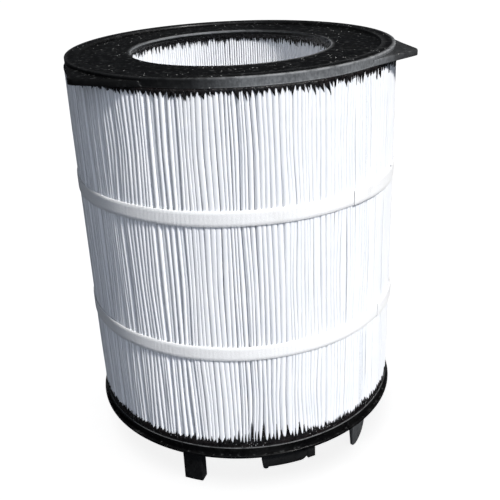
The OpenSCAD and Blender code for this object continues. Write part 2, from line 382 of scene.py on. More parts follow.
def seam_fabric():
    """The same nonwoven pressed flat and bonded in a pattern of small dots."""
    s = Shader("seam_fabric")
    cells = s.add("ShaderNodeTexVoronoi", Vector=s.position, Scale=520)
    dots = s.ramp(cells.outputs["Distance"], 0.2, 0.36)
    colour = s.mix(dots, (0.66, 0.68, 0.71), (0.83, 0.85, 0.88))
    stained_colour, wet = stained(s, colour)
    s.set(Base_Color=stained_colour)
    s.set(Roughness=s.ramp(wet, 0, 1, 0.6, 0.42))
    s.set(Normal=s.bump(dots, 0.6, 0.0003))
    return s.material


def strap_fabric():
    """Off-white needled strap: coarse speckled fibres, slightly soiled."""
    s = Shader("strap_fabric")
    coarse = s.noise(650, 5, 0.7)
    long_fibre = s.noise(1.0, 4, 0.7, s.mapped((900, 900, 2600)))
    speckle = s.ramp(coarse, 0.40, 0.66)
    base = s.mix(speckle, (0.92, 0.92, 0.92), (0.975, 0.975, 0.975))
    flecked = s.mix(s.ramp(long_fibre, 0.5, 0.75, 0.0, 0.35), base, (0.965, 0.965, 0.965))
    soil = s.ramp(s.noise(30, 4), 0.55, 0.8, 0.0, 0.22)
    s.set(Base_Color=s.mix(soil, flecked, (0.55, 0.54, 0.50)))
    s.set(Roughness=0.85, Sheen_Weight=0.6, Sheen_Roughness=0.5, Specular_IOR_Level=0.25)
    s.set(Normal=s.bump(s.math("ADD", coarse, long_fibre), 0.6, 0.0005))
    return s.material


def hot_glue():
    """Amber hot-melt glue, a little cloudy."""
    s = Shader("hot_glue")
    tone = s.ramp(s.noise(150, 3), 0.35, 0.7)
    s.set(Base_Color=s.mix(tone, (0.62, 0.50, 0.26), (0.78, 0.69, 0.46)))
    s.set(Roughness=s.ramp(s.noise(90, 2), 0.3, 0.7, 0.22, 0.40), Subsurface_Weight=0.1)
    s.set(Normal=s.bump(s.noise(240, 3), 0.5, 0.0005))
    return s.material


def seal_rubber():
    """Dark grey rubber with a dull bloom and fine moulding grain."""
    s = Shader("seal_rubber")
    bloom = s.ramp(s.noise(45, 5, 0.65), 0.4, 0.75)
    s.set(Base_Color=s.mix(bloom, (0.018, 0.018, 0.019), (0.055, 0.055, 0.056)))
    s.set(Roughness=s.ramp(s.noise(160, 3), 0.3, 0.7, 0.55, 0.8), Specular_IOR_Level=0.4)
    s.set(Normal=s.bump(s.noise(900, 3), 0.4, 0.0002))
    return s.material


def pale_floor():
    """Plain pale floor with a glow of its own, so that it is seen evenly white round soft shadows."""
    s = Shader("pale_floor")
    tone = s.ramp(s.noise(3, 4), 0.3, 0.7)
    s.set(Base_Color=s.mix(tone, (0.80, 0.80, 0.80), (0.83, 0.83, 0.83)))
    s.set(Roughness=0.9, Specular_IOR_Level=0.1)
    s.set(Emission_Color=(1.0, 1.0, 1.0), Emission_Strength=0.87)
    return s.material


# ---- The pleated sheet's shape ----
SPREAD_HEIGHTS = np.array([23, 90, 159.5, 245, 334, 410, 478.5])
MIDDLE_Z = SPREAD_HEIGHTS[3]
MEDIA_T = 0.8
PACK_IN_R = 131.9
LEAN_WINDOW = 25
LEAN_CLEARANCE = 0.05
LEAST_GAP = 0.52
FOLD_R = 0.85
SEAM_GAP = -16.5


def spread_of_pleats():
    """How far each outer tip stands from its even place, in pitches: [height, pleat].
    Gaps are uneven: most pleats lean on a neighbour, and a few gaps gape."""
    kernel = np.hanning(2 * LEAN_WINDOW + 1)
    kernel /= kernel.sum()
    lasting = rng.normal(0, 0.30, PLEATS)
    wide = rng.random(PLEATS) < 0.06
    lasting[wide] += rng.uniform(0.4, 0.8, wide.sum())
    spread = []
    for _ in SPREAD_HEIGHTS:
        gaps = np.exp(lasting + rng.normal(0, 0.20, PLEATS))
        gaps = np.clip(gaps, 0.5, 1.7)
        gaps *= PLEATS / gaps.sum()
        gaps = LEAST_GAP + (gaps - gaps.min()) * ((1 - LEAST_GAP) / (1 - gaps.min()))
        place = np.cumsum(gaps) - np.arange(PLEATS)
        padded = np.concatenate([place[-LEAN_WINDOW:], place, place[:LEAN_WINDOW]])
        drift = np.convolve(padded, kernel, mode="valid")
        spread.append(place - drift)
    return np.array(spread)


def by_angle(places, shares):
    """A value for each pleat, from shares given at a few places round the ring."""
    return at_angles((np.arange(PLEATS) + 0.5) * PITCH, places, shares)


def tip_half_widths(spread):
    """Reach of each tip's middle line to its two sides in millimetres: [height, side, pleat].
    A tip spreads until it nearly meets its nearer neighbour, or both of them where the pack is flush."""
    widths = []
    for row in spread:
        place = np.arange(PLEATS) + row
        after = np.diff(np.append(place, place[0] + PLEATS)) * PITCH * pack_r
        before = np.roll(after, 1)
        nearer = np.minimum(after, before)
        share = rng.uniform(0.425, 0.465, PLEATS) + 0.03 * flush
        sides = [share * (nearer + (side - nearer) * flush) - MEDIA_T / 2 for side in (before, after)]
        widths.append([np.clip(side, 0.6, 1.95 + 1.2 * flush) for side in sides])
    return np.array(widths)


def through(values, z):
    """The value at height z of a nearly straight curve through values given at the spread heights."""
    heights = SPREAD_HEIGHTS
    i = int(np.clip(np.searchsorted(heights, z) - 1, 0, len(heights) - 2))
    t = np.clip((z - heights[i]) / (heights[i + 1] - heights[i]), 0, 1)
    a, b = values[i], values[i + 1]
    before = values[max(i - 1, 0)]
    after = values[min(i + 2, len(heights) - 1)]
    curve = 0.5 * (2 * a + (b - before) * t + (2 * before - 5 * a + 4 * b - after) * t * t
                   + (3 * a - before - 3 * b + after) * t ** 3)
    return 0.35 * curve + 0.65 * (a + (b - a) * t)


# 1 where the tips stand flush with hardly a gap, 0 where dark gaps show between them.
flush = by_angle(
    [-180, -120, -88, -85, -76, -73, -62, -57, 20, 60, 120, 160],
    [0.5, 0.1, 0.1, 0.9, 0.9, 0.1, 0.2, 0.85, 0.95, 0.5, 0.9, 0.2],
)
tip_spread = spread_of_pleats()
fold_spread = rng.normal(0, 0.07, (len(SPREAD_HEIGHTS), PLEATS))
tip_inset = np.abs(rng.normal(0, 0.5, (len(SPREAD_HEIGHTS), PLEATS)))
tip_inset += np.where(rng.random(PLEATS) < 0.07, 1.3, 0.0)
fold_inset = np.abs(rng.normal(0, 0.5, (len(SPREAD_HEIGHTS), PLEATS)))
tip_width = tip_half_widths(tip_spread)
bow = wave_noise(np.arange(PLEATS) * PITCH, [3, 7, 13, 29, 41], 5, 1.2)
lean_depth = rng.uniform(3.5, 7.5, PLEATS)


def pack_radius(z):
    """Outer radius of the pleats: they are drawn in a little at the end rings."""
    at_top = smoothstep((z - 300) / (media_hi_z - 300)) ** 2
    at_bottom = smoothstep((90 - z) / 70)
    return pack_r - 0.4 * at_top - 0.6 * at_bottom


def tip_angle(u, z):
    """Angle of the pleat coordinate u at height z: whole numbers are tips, halves are gaps."""
    place = np.arange(PLEATS) + through(tip_spread, z)
    place = np.concatenate([[place[-1] - PLEATS], place, [place[0] + PLEATS]])
    once = np.mod(u, PLEATS)
    return np.interp(once, np.arange(-1, PLEATS + 1), place) * PITCH + PITCH * (u - once)


def sheet_line(first, last, z):
    """Middle line of the sheet at height z, from the fold before pleat first to the fold after pleat last."""
    k = np.arange(first, last + 1)
    m = np.mod(k, PLEATS)
    next_m = np.mod(k + 1, PLEATS)
    seam_m = round(SEAM_GAP + 0.5) % PLEATS
    tips = tip_angle(np.arange(first - 1, last + 2).astype(float), z)
    tip = tips[1:-1]
    room = np.diff(tips) / 2
    fold_place = through(fold_spread, z)
    fold = (k - 0.5 + fold_place[m]) * PITCH
    next_fold = (k + 0.5 + fold_place[next_m]) * PITCH
    out_r = pack_radius(z) - MEDIA_T / 2 - through(tip_inset, z)[m]
    w_before, w_after = through(tip_width, z)[:, m]
    fold_r = PACK_IN_R + MEDIA_T / 2 + FOLD_R + through(fold_inset, z)
    in_r = fold_r[m]
    next_r = fold_r[next_m]
    rows = []

    def local(radius, angle, side):
        """Points at a radius and an angle, stepped sideways."""
        return np.stack([radius * np.cos(angle) - side * np.sin(angle),
                         radius * np.sin(angle) + side * np.cos(angle)], axis=-1)

    def bend(radius, angle, out, side, degrees):
        """A point of a rounded tip or fold, some degrees from its crown."""
        a = math.radians(degrees)
        return local(radius + out * math.cos(a), angle, side * math.sin(a))

    def belly(way, half_room, touch_r, w, by_seam):
        """Where a pleat swells out to lean on its neighbour, except beside the seam's fin."""
        reach = half_room * touch_r - MEDIA_T / 2 - LEAN_CLEARANCE
        return local(touch_r, tip, way * np.where(by_seam, np.minimum(reach, w), reach))

    def halfway(start, end):
        """The middle of a pleat's side, which bows a little."""
        return (start + end) / 2 + np.stack([-np.sin(tip) * bow[m], np.cos(tip) * bow[m]], axis=-1)

    for degrees in (0, 45, 90):
        rows.append(bend(in_r, fold, -FOLD_R, FOLD_R, degrees))
    before = belly(-1, room[:-1], out_r - lean_depth[m - 1], w_before, m == seam_m)
    after = belly(1, room[1:], out_r - lean_depth[m], w_after, next_m == seam_m)
    rows.append(halfway(rows[-1], before))
    rows.append(before)
    crown = (0.62 - 0.40 * flush[m]) * np.minimum(w_before, w_after)
    for degrees in (-90, -50, -18, 18, 50, 90):
        rows.append(bend(out_r - crown, tip, crown, w_before if degrees < 0 else w_after, degrees))
    rows.append(after)
    rows.append(halfway(after, local(next_r, next_fold, -FOLD_R)))
    for degrees in (-90, -45):
        rows.append(bend(next_r, next_fold, -FOLD_R, FOLD_R, degrees))
    line = np.stack(rows, axis=1).reshape(-1, 2)
    return np.concatenate([line, local(next_r[-1:] - FOLD_R, next_fold[-1:], 0)])


def media_sheet(name, first, last, z_steps):
    """Part of the pleated sheet, 0.8 mm thick and closed all round."""
    layers = []
    for z in z_steps:
        line = sheet_line(first, last, z)
        along = np.gradient(line, axis=0)
        along /= np.linalg.norm(along, axis=1)[:, None]
        normal = np.stack([along[:, 1], -along[:, 0]], axis=-1)
        front = line + normal * MEDIA_T / 2
        back = line - normal * MEDIA_T / 2
        loop = np.concatenate([front, back[::-1]])
        layers.append(np.column_stack([loop, np.full(len(loop), z)]))
    points = np.array(layers)
    rows, count, _ = points.shape
    faces = loop_faces(rows, count)[: (rows - 1) * count]
    half = count // 2
    for row in (0, rows - 1):
        base = row * count
        for i in range(half - 1):
            faces.append([base + i, base + i + 1, base + count - 2 - i, base + count - 1 - i])
    return make_mesh(name, points, faces, 50)


# ---- Top end ring ----
RIM_W = 18.5
RECESS = 3.0
LUG_T = 7.0
LUG_TIP_R = 14.0
LUG_C = lug_end_r - LUG_TIP_R
LUG_SPREAD = math.radians(27)
WALL_W = 4.0
EDGE_R = 1.2
BEAD_OUT = 0.8
BEAD_H = 1.2
LIP_W = 4.0
LUG_BLEND = 0.5
MOST_DULL_AND_LIT = 0.42


def lug_radius(angle):
    """Outer radius of a lug at an angle from its middle, or less than the ring's where there is none."""
    a = np.abs(angle)
    root = np.array([math.cos(LUG_SPREAD), math.sin(LUG_SPREAD)]) * (ring_r - WALL_W / 2)
    side = np.array([LUG_C, 0]) - root
    length = np.linalg.norm(side)
    lean = math.asin(LUG_TIP_R / length)
    heading = math.atan2(side[1], side[0]) + lean
    touch = root + math.sqrt(length ** 2 - LUG_TIP_R ** 2) * np.array([math.cos(heading), math.sin(heading)])
    touch_a = math.atan2(touch[1], touch[0])
    dx, dy = touch - root
    line = (root[0] * dy - root[1] * dx) / (np.cos(a) * dy - np.sin(a) * dx)
    round_part = LUG_C * np.cos(a) + np.sqrt(np.maximum(LUG_TIP_R ** 2 - (LUG_C * np.sin(a)) ** 2, 0))
    r = np.where(a < touch_a, round_part, line)
    return np.where(a > LUG_SPREAD, 0, r)


def lit_side_round_ring(angles):
    """How dull and grey the top ring's side is painted at each angle: painted light, greyest across the front
    where the key light falls and dark on the shaded left.
    """
    places = [-180, -140, -94, -83, -76, -67, -40, 15, 28, 45, 85, 105, 150]
    shares = [0.25, 0.02, 0.03, 0.06, 0.30, 0.85, 0.95, 0.85, 0.5, 0.06, 0.08, 0.45, 0.5]
    return at_angles(angles, places, shares)


def bore_lit_side(angles):
    """How dull and grey the bore's wall is painted at each angle: painted light, greyest on the far wall
    where the key light falls.
    """
    return at_angles(angles, [0, 35, 100, 125, 220, 300], [0.25, 0.08, 0.30, 0.75, 0.85, 0.4])


def top_ring():
    """Raised rim, sunk face, rolled lip at the bore, skirt and lugs, with a channel below for the potting."""
    columns = 1200
    angles = np.arange(columns) * 2 * math.pi / columns
    sector = 2 * math.pi / LUG_COUNT
    from_lug = np.mod(angles + sector / 2, sector) - sector / 2
    beyond = lug_radius(from_lug) - ring_r
    out = np.where(beyond > 6, beyond, (beyond + np.sqrt(beyond ** 2 + LUG_BLEND ** 2)) / 2)
    out = np.where(beyond < -6, 0, out)
    rim_in_r = ring_r - RIM_W
    sunk_z = top_z - RECESS
    wall_r = ring_r - BEAD_OUT
    lip_z = ceiling_z - 3
    channel_out = ring_r - WALL_W - 1
    channel_in = bore_r + LIP_W
    # Each group: its points, how much its edges are lightened (wear and painted highlight), and how dull and
    # grey it is painted (matte finish and painted sheen).
    groups = [
        ([(wall_r, top_z - 4), (wall_r, top_z - 2.5)], 0, 1),
        (arc(wall_r - EDGE_R, top_z - EDGE_R, EDGE_R, 0, 90, 5), 0.75, 0.4),
        ([(wall_r - 5, top_z - 0.05), (wall_r - 10, top_z - 0.05)], 0, 0),
        (arc(rim_in_r + EDGE_R, top_z - EDGE_R, EDGE_R, 90, 160, 4), 0.12, 0),
        ([(rim_in_r - 0.9, sunk_z + 0.55), (rim_in_r - 1.5, sunk_z + 0.16), (rim_in_r - 2.4, sunk_z)], 0, 0),
        ([(r, sunk_z) for r in np.linspace(rim_in_r - 7, bore_r + 6, 12)], 0, 0),
        ([(bore_r + 3.4, sunk_z), (bore_r + 2.8, sunk_z + 0.25)], 0.2, 0),
        (arc(bore_r + EDGE_R, sunk_z - EDGE_R + 0.3, EDGE_R, 90, 180, 5), 0.55, 1.0),
        ([(bore_r, sunk_z - 2.0), (bore_r, sunk_z - 2.6), (bore_r, lip_z + 0.5)], 0, [1.6, 0.05, 0]),
        ([(bore_r + 0.5, lip_z), (channel_in - 0.5, lip_z), (channel_in, lip_z + 0.5)], 0, 0),
        ([(channel_in, ceiling_z), (channel_out, ceiling_z)], 0, 0),
        ([(channel_out, skirt_z + 0.4), (channel_out + 0.4, skirt_z)], 0, 0),
    ]
    fixed_top = [point for part, _, _ in groups for point in part]
    points = []
    rises = smoothstep((out - 0.15) / 0.5)
    for angle, reach, rise in zip(angles, out, rises):
        outer = ring_r + reach
        flange_z = skirt_z + BEAD_H + (LUG_T - BEAD_H) * rise
        top_r = 0.5 + 1.3 * float(smoothstep((reach - 3) / 6))
        root = min(0.6, (outer - top_r - wall_r) * 0.5)
        side = (
            [(outer - top_r - 0.4, skirt_z)]
            + arc(outer - 0.5, skirt_z + 0.5, 0.5, -90, 0, 3)
            + arc(outer - top_r, flange_z - top_r, top_r, 0, 90, 3)
        )
        shelf = [
            (wall_r + root, flange_z),
            (wall_r + 0.25 * root, flange_z + 0.25 * root),
            (wall_r, min(flange_z + root, top_z - 4.001)),
        ]
        profile = side + shelf + fixed_top
        points.append([(r * math.cos(angle), r * math.sin(angle), z) for r, z in profile])
    points = np.array(points)
    obj = ring_mesh("top_ring_moulding", points, 35)
    side_rows = len(side)
    flange_rows = side_rows + len(shelf)
    edge = np.zeros(len(profile))
    edge[1:side_rows] = 0.1
    dull = np.zeros(len(profile))
    row = flange_rows
    for part, part_edge, part_dull_and_lit in groups:
        edge[row:row + len(part)] = part_edge
        dull[row:row + len(part)] = part_dull_and_lit
        row += len(part)
    # Painted light: the grey of the dull paint and the lightening of the edges follow the side that the key
    # light falls on.
    lit_side = lit_side_round_ring(angles)[:, None]
    dull = np.tile(dull, (columns, 1))
    dull[:, :side_rows] = 1 - 0.88 * smoothstep(out / 14)[:, None]
    dull[:, side_rows:flange_rows] = 1 - rises[:, None] * 0.76
    bore = [i for i, (r, _) in enumerate(profile) if abs(r - bore_r) < 0.2]
    dull[:, bore] *= bore_lit_side(angles)[:, None] / lit_side
    paint(obj, "edge", edge * (0.04 + 0.96 * lit_side))
    paint(obj, "dull", dull * MOST_DULL_AND_LIT * lit_side)
    paint(obj, "dust", np.ones(points.shape[:2]))
    return obj


# ---- Potting ----
TOOTH_STEPS = 8
TOOTH_SLANT = 0.45
bed_u = np.arange(PLEATS * TOOTH_STEPS) / TOOTH_STEPS
bed_angle = bed_u * PITCH


def tooth_shape(u):
    """0 at a pleat's tip and 1 in the middle of a gap."""
    away = np.abs(np.mod(u + 0.5, 1) - 0.5)
    return np.clip((away - 0.02) / 0.48, 0, 1)


def teeth(seed, short, tall, wide_share):
    """Height of each gap's tooth in millimetres: taller where the gap is wide, and one in five short."""
    r = np.random.default_rng(seed)
    size = r.uniform(short, tall, PLEATS) * r.choice([0.45, 0.8, 1.0], PLEATS, p=[0.2, 0.4, 0.4])
    place = np.arange(PLEATS) + tip_spread.mean(0)
    gap = np.diff(np.append(place, place[0] + PLEATS))
    return size + np.maximum(gap - 0.9, 0) * wide_share


def outer_teeth(heights):
    """Height of the teeth in each column, from one height for each gap between the tips."""
    return np.repeat(heights, TOOTH_STEPS) * tooth_shape(bed_u)


def inner_teeth(heights):
    """The same for the gaps between the inner folds, half a pleat further round."""
    return np.roll(np.repeat(heights, TOOTH_STEPS), -TOOTH_STEPS // 2) * tooth_shape(bed_u + 0.5)


def ripple(seed, slow, fast):
    """Unevenness of a bed round the ring, in millimetres."""
    slowly = wave_noise(bed_angle, [2, 5, 11, 23], seed, slow)
    return slowly + wave_noise(bed_angle, [61, 90, 131], seed + 1, fast)


def potting(name, outline, slant=0.0):
    """A bed of potting. The radius and height of each point of its outline are numbers, or one per column.
    Its outer side follows the lean of the pleats, and its teeth slant by a share of a pitch in 10 mm."""
    radii = np.stack([np.broadcast_to(r, len(bed_u)) for r, _ in outline], axis=1)
    heights = np.stack([np.broadcast_to(z, len(bed_u)) for _, z in outline], axis=1)
    lean = slant * (0.5 + wave_noise(bed_angle, [3, 11, 23, 41], 50, 2.4))
    angles = np.zeros_like(heights)
    for j in range(len(outline)):
        z = heights[:, j]
        leaning = tip_angle(bed_u, float(np.mean(z))) + lean * PITCH * (z.max() - z) / 10
        outerness = smoothstep((radii[:, j] - 150) / 40)
        angles[:, j] = bed_angle + (leaning - bed_angle) * outerness
    return ring_mesh(name, around(radii, angles, heights), 60)


def bottom_bed():
    sunk_r = base_r - 9.9
    in_r = bore_r + LIP_W
    level = media_lo_z + 1.5
    tooth = teeth(31, 2.5, 8.5, 5.0) * by_angle(
        [-140, -112, -98, -79, -76, -54, -49, -10, 60],
        [0.5, 0.25, 0.6, 0.7, 3.5, 3.0, 0.8, 0.8, 1.0],
    )
    solid = by_angle([-150, -128, -108, -96, -60, 0, 120], [30.5, 31.0, 30.0, 27.0, 26.2, 26.8, 28.0])
    swell = np.repeat(solid, TOOTH_STEPS) + ripple(8, 1.6, 0.5)
    high = swell + outer_teeth(tooth)
    inner_high = level + 1 + inner_teeth(teeth(32, 1.5, 6.0, 1.0))
    r = pack_radius(30) + 0.1 + wave_noise(bed_angle, [17, 31, 57, 113], 10, 0.12)
    return potting("bottom_potting_cast", [
        (sunk_r, bed_z), (sunk_r, base_top_z + 0.05), (base_r - 2.6, base_top_z + 0.05),
        (base_r - 0.6, base_top_z + 0.9), (r - 0.5, base_top_z + 2.6), (r, base_top_z + 4.2),
        (r, (swell + base_top_z + 4.2) / 2), (r - 0.05, high - 1.2), (r - 0.5, high),
        (r - 3.5, high - 0.8), (r - 9, high * 0.55 + 11.5), (185, level), (165, level - 0.5), (145, level),
        (137, inner_high - 1), (in_r + 1.1, inner_high), (in_r + 0.2, inner_high - 0.8),
        (in_r + 0.1, base_top_z + 2.5), (in_r, base_top_z - 2), (in_r, bed_z),
    ])


def top_bed():
    out_r = ring_r - WALL_W - 1
    in_r = bore_r + LIP_W
    level = media_hi_z - 0.5
    tooth = teeth(41, 4.5, 12.5, 5.0) * by_angle(
        [-140, -125, -98, -84, -64, 0, 60],
        [0.35, 0.35, 0.55, 0.9, 1.25, 1.1, 1.0],
    )
    inner_tooth = teeth(42, 4.0, 10.0, 2.0) * by_angle([40, 75, 105, 140, 180], [1.3, 1.2, 0.8, 0.45, 0.5])
    swell = level - 0.4 + ripple(18, 0.8, 0.4)
    low = swell - outer_teeth(tooth)
    inner_low = media_hi_z - inner_teeth(inner_tooth)
    r = pack_radius(media_hi_z) + 0.15 + wave_noise(bed_angle, [17, 31, 57, 113], 20, 0.10)
    return potting("top_potting_cast", [
        (out_r, ceiling_z), (out_r, skirt_z - 0.05), (r - 0.6, skirt_z - 0.05), (r, skirt_z - 0.7),
        (r, swell), (r - 0.05, low + 1.2), (r - 0.5, low), (r - 3.5, low + 0.8),
        (r - 9, low * 0.5 + 238), (185, level), (165, level + 0.3), (145, level),
        (137, inner_low + 1), (in_r + 1.1, inner_low), (in_r + 0.25, inner_low + 0.8),
        (in_r + 0.1, skirt_z), (in_r, skirt_z + 1.9), (in_r, ceiling_z),
    ], TOOTH_SLANT)


# ---- Straps ----
BAND_W = 19.0
BAND_T = 1.2
GLUE_T = 0.4
LAP = math.radians(30)
RAMP = math.radians(3.0)


def strap(name, z_mid, lap_end, seed):
    """One strap: it starts at its loose end, steps down off the lap and runs round, to end under the lap."""
    columns = 1560
    turn = np.linspace(0, 2 * math.pi + LAP - RAMP, columns)
    low_r = pack_r + BAND_T / 2
    high_r = low_r + BAND_T + GLUE_T
    drop = smoothstep((turn - (LAP - RAMP)) / RAMP)
    r_mid = high_r + (low_r - high_r) * drop
    angle = lap_end + turn
    pleat_wave = -0.10 * (1 - np.cos(turn * PLEATS)) / 2
    z_wave = wave_noise(np.mod(angle, 2 * math.pi), [1, 2, 5, 9], seed, 0.5)
    low_edge = wave_noise(turn, [37, 83, 151, 211], seed + 1, 0.22)
    high_edge = wave_noise(turn, [41, 77, 143, 199], seed + 2, 0.22)
    half_w, half_t, corner = BAND_W / 2, BAND_T / 2, 0.35
    outline = (
        [(half_t, z) for z in (-half_w + corner, -half_w * 0.5, 0, half_w * 0.5, half_w - corner)]
        + [(half_t - corner, half_w), (-half_t + corner, half_w)]
        + [(-half_t, z) for z in (half_w - corner, half_w * 0.5, 0, -half_w * 0.5, -half_w + corner)]
        + [(-half_t + corner, -half_w), (half_t - corner, -half_w)]
    )
    points = []
    for t, z in outline:
        share = z / half_w
        edge = np.where(share > 0, high_edge * share, low_edge * -share)
        r = r_mid + t + (pleat_wave if t > 0 else 0)
        points.append(around(r, angle, z_mid + z + z_wave + edge))
    return strip_mesh(name, np.stack(points, axis=1), 50)


def strap_glue(name, z_mid, lap_end, seed):
    """The thin pad of hot glue between a strap's two ends."""
    columns = 120
    turn = np.linspace(math.radians(1), LAP - RAMP - math.radians(1), columns)
    angle = lap_end + turn
    r0, r1 = pack_r + BAND_T, pack_r + BAND_T + GLUE_T
    low = -BAND_W / 2 + 3 + wave_noise(turn * 12, [3, 7, 13], seed, 0.9)
    high = BAND_W / 2 - 3 + wave_noise(turn * 12, [3, 5, 11], seed + 1, 0.9)
    z_wave = wave_noise(np.mod(angle, 2 * math.pi), [1, 2, 5, 9], seed + 2, 0.5)
    rows = []
    for r, share in ((r1, 0.06), (r1, 0.5), (r1, 0.94), (r1 - 0.1, 1.0), (r0 + 0.1, 1.0),
                     (r0, 0.94), (r0, 0.5), (r0, 0.06), (r0 + 0.1, 0.0), (r1 - 0.1, 0.0)):
        rows.append(around(r, angle, z_mid + z_wave + low + (high - low) * share))
    return strip_mesh(name, np.stack(rows, axis=1), 50)


# ---- Seam fin ----
SEAM_DEEP = 18.0


def seam_fin():
    """The pressed fin where the sheet's ends are joined, in the gap between two pleats."""
    fin_shape = ((0.5, 0.7), (0.25, 0.9), (1.0, 1.0), (SEAM_DEEP, 0.8))
    rows = []
    for z in np.linspace(media_lo_z + 0.4, media_hi_z - 0.4, 40):
        left = float(tip_angle(np.array([SEAM_GAP - 0.5]), z)[0])
        right = float(tip_angle(np.array([SEAM_GAP + 0.5]), z)[0])
        a = (left + right) / 2
        half_out = max((right - left) * pack_r / 2 - 1.35, 0.45)
        half = [(pack_r - 0.35 - deep, half_out * share) for deep, share in fin_shape]
        outline = [(r, -side) for r, side in half[::-1]] + half
        c, s = math.cos(a), math.sin(a)
        rows.append([(r * c - side * s, r * s + side * c, z) for r, side in outline])
    return strip_mesh("media_seam_fin", np.array(rows), 40)


# ---- Bottom end ring ----
BASE_DRAFT = 0.6
STEP_H = 5.0
FLANGE_TOP = STEP_H + 4.0
STEP_R = base_r - 4
FLOOR_Z = bed_z - 3.5
BASE_RIBS = 24
RIB_T = 3.0
LAND_R = seal_out_r + 5
HOLLOW_R = STEP_R - 15
SEAL_W = 6.0
SEAL_IN_R = seal_out_r - SEAL_W
GROOVE = 3.0


def bottom_ring():
    """Drafted outer wall with a set-back step, an inner wall, and a hollow underside with radial ribs."""
    wall_foot = base_r - BASE_DRAFT
    channel_out = wall_foot - WALL_W
    channel_in = bore_r + LIP_W
    top = base_top_z
    outside = (
        [(HOLLOW_R + 0.6, 0), (STEP_R - 1.6, 0)]
        + arc(STEP_R - 1, 1, 1, -90, 0, 3)
        + [(STEP_R, STEP_H - 0.6), (STEP_R + 0.2, STEP_H - 0.15), (STEP_R + 0.6, STEP_H)]
        + arc(flange_r - 1.4, STEP_H + 1.4, 1.4, -90, 0, 3)
        + arc(flange_r - 1.0, FLANGE_TOP - 1.0, 1.0, 0, 90, 3)
        + [(wall_foot + 0.7, FLANGE_TOP), (wall_foot + 0.2, FLANGE_TOP + 0.2), (wall_foot, FLANGE_TOP + 0.8)]
        + [(wall_foot + BASE_DRAFT * 0.5, (FLANGE_TOP + top) / 2)]
        + arc(base_r - EDGE_R, top - EDGE_R, EDGE_R, 0, 90, 5)
        + [(base_r - 3.4, top), (channel_out + 1.4, top), (channel_out + 0.8, top - 0.5)]
        + [(channel_out, top - 1.4), (channel_out, bed_z), (channel_in, bed_z)]
        + [(channel_in, top - 2.6), (channel_in - 0.5, top - 2), (bore_r + 0.5, top - 2), (bore_r, top - 2.5)]
        + [(bore_r, 9), (bore_r, 0.6), (bore_r + 0.6, 0), (SEAL_IN_R - 0.3, 0), (SEAL_IN_R, 0.3)]
        + [(SEAL_IN_R, GROOVE), (seal_out_r, GROOVE), (seal_out_r, 0.3), (seal_out_r + 0.3, 0)]
        + [(LAND_R - 0.6, 0)]
    )
    hollow = [(LAND_R, 0.6), (LAND_R + 0.6, FLOOR_Z), (LAND_R + 15, FLOOR_Z), (HOLLOW_R - 15, FLOOR_Z)]
    hollow += [(HOLLOW_R - 0.6, FLOOR_Z), (HOLLOW_R, 0.6)]
    rib_hollow = [(r, 0.8) for r, _ in hollow]
    rib_foot = RIB_T / 2 + 0.35
    rib_sides = ((-rib_foot, False), (-RIB_T / 2, True), (0, True), (RIB_T / 2, True), (rib_foot, False))
    columns = []
    rib_step = 2 * math.pi / BASE_RIBS
    margin = math.radians(1.4)
    for i in range(BASE_RIBS):
        a = (i + 0.5) * rib_step
        columns += [(a, side, lifted) for side, lifted in rib_sides]
        columns += [(t, 0.0, False) for t in np.linspace(a + margin, a + rib_step - margin, 26)]
    points = []
    for a, side, lifted in columns:
        profile = outside + (rib_hollow if lifted else hollow)
        row = []
        for r, z in profile:
            t = a + math.asin(side / r)
            row.append((r * math.cos(t), r * math.sin(t), z))
        points.append(row)
    points = np.array(points)
    obj = ring_mesh("bottom_ring_moulding", points, 35)
    profile_r, profile_z = np.array(outside + hollow).T
    # Painted highlight: the rim's top edge is painted lighter along its rounding, with a faint trace on the
    # flange's edge.
    edge = np.where(profile_r > base_r - EDGE_R - 0.3, np.where(profile_z > top - 0.6, 0.36, 0.0), 0.0)
    edge += np.where((profile_r > flange_r - 1.6) & (profile_z > FLANGE_TOP - 0.4), 0.01, 0.0)
    paint(obj, "edge", np.tile(edge, len(points)))
    paint(obj, "dull", np.zeros(points.shape[0] * points.shape[1]))
    return obj


# ---- Feet and locking walls ----
FOOT_H = -foot_z
GROUP_ANGLE = math.radians(-57)
FOOT_SPREAD = math.radians(36)
FIN_R = STEP_R - 6
LOCK_R = STEP_R - 1.5
SLICE_W = 2.5


def block(outline, r0, r1, bevel, thinning=0.0):
    """A flat outline (across, up) run through from radius r0 to r1, edges rounded, then bent round the ring.
    Its inner face leans out by the thinning on its way down to the foot."""
    bm = bmesh.new()
    inner = [bm.verts.new((r0 - thinning * z / FOOT_H, y, z)) for y, z in outline]
    outer = [bm.verts.new((r1, y, z)) for y, z in outline]
    n = len(outline)
    bm.faces.new(inner[::-1])
    bm.faces.new(outer)
    for i in range(n):
        bm.faces.new((inner[i], inner[(i + 1) % n], outer[(i + 1) % n], outer[i]))
    bmesh.ops.recalc_face_normals(bm, faces=bm.faces)
    sharp = [e for e in bm.edges if len(e.link_faces) == 2 and e.calc_face_angle() > math.radians(25)]
    bmesh.ops.bevel(bm, geom=sharp, offset=bevel, segments=3, profile=0.5, affect="EDGES", clamp_overlap=True)
    low = min(v.co.y for v in bm.verts)
    high = max(v.co.y for v in bm.verts)
    for y in np.linspace(low, high, int((high - low) / SLICE_W) + 2)[1:-1]:
        geometry = bm.verts[:] + bm.edges[:] + bm.faces[:]
        bmesh.ops.bisect_plane(bm, geom=geometry, plane_co=(0, y, 0), plane_no=(0, 1, 0))
    for v in bm.verts:
        v.co.x = math.sqrt(max(v.co.x ** 2 - v.co.y ** 2, 0))
    return bm


